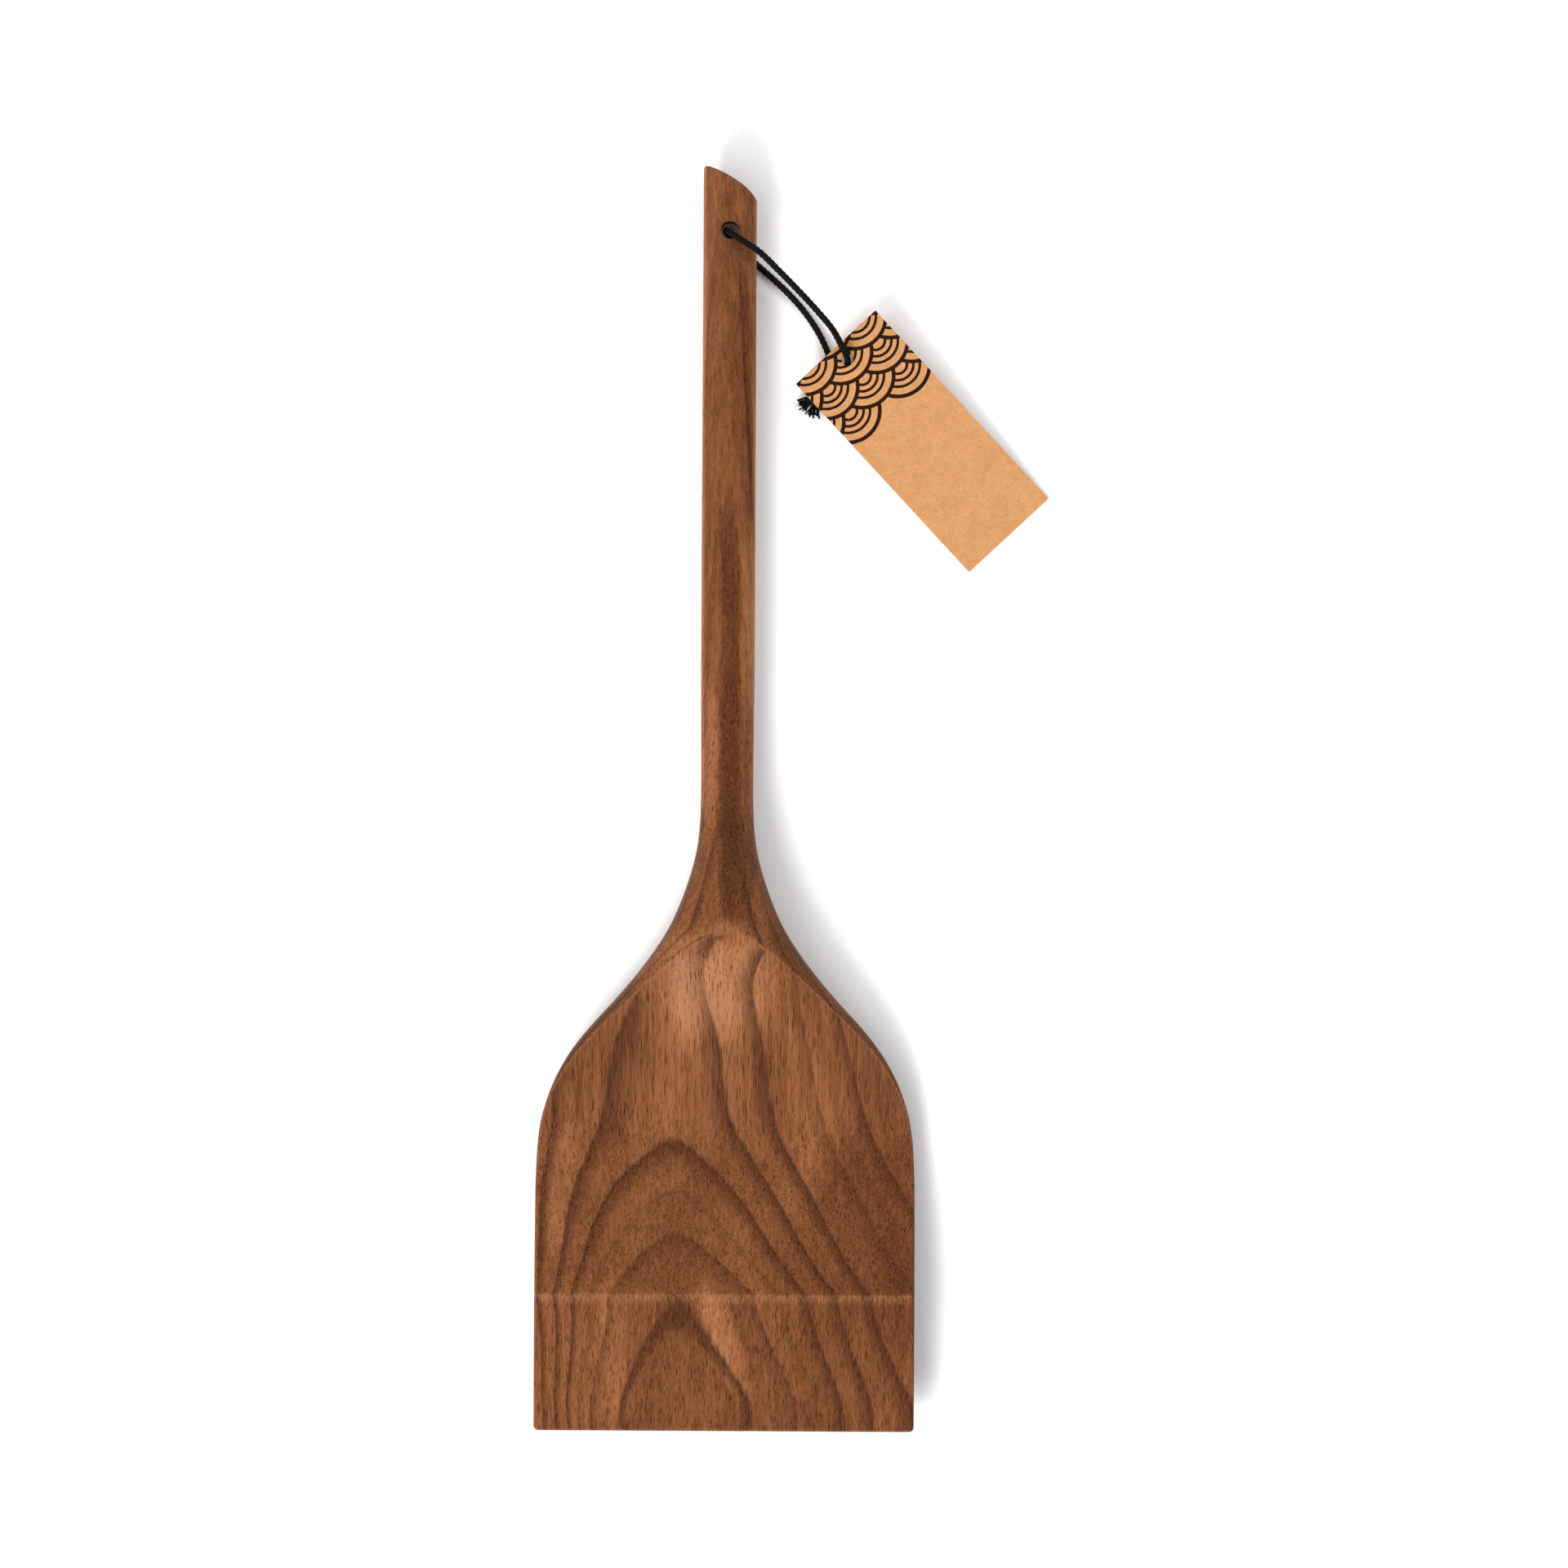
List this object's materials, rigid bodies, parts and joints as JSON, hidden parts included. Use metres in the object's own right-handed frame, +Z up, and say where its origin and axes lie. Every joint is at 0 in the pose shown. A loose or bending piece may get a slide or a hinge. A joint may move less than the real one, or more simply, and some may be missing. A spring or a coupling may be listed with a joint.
{
  "type": "wooden spatula",
  "caption": "Wooden spatula with a straight slim handle, broad scooped blade and bevelled tip, and a kraft hang tag on a black cord looped through the handle end.",
  "frame": {"origin": "under the middle of the wooden body, on the surface that it lies on", "axes": "+Y from the blade tip to the handle end, +Z up out of the scooped face, +X to the right"},
  "size_m": [0.1413, 0.35, 0.0194],
  "materials": {
    "wood": "dark brown open-pored hardwood, oiled, satin",
    "cord": "black twisted cotton cord, matt",
    "card": "plain kraft card, matt"
  },
  "bodies": {
    "spatula": {"spatula_body": "wood"},
    "cord_loop": {"hang_cord": "cord", "cord_knot": "cord", "cord_tail_upper": "cord", "cord_tail_lower": "cord"},
    "tag": {"hang_tag": "card"}
  },
  "joints": [
    {"name": "cord_swing", "type": "hinge", "parent": "spatula", "child": "cord_loop", "pos_m": [0, 0.157, 0.0081], "axis": [0, 0, 1], "range_deg": [-12, 80]},
    {"name": "tag_swivel", "type": "hinge", "parent": "cord_loop", "child": "tag", "pos_m": [0.03267, 0.12148, 0.00612], "axis": [0.0596, -0.0636, 0.9962], "range_deg": [-28, 75]}
  ]
}
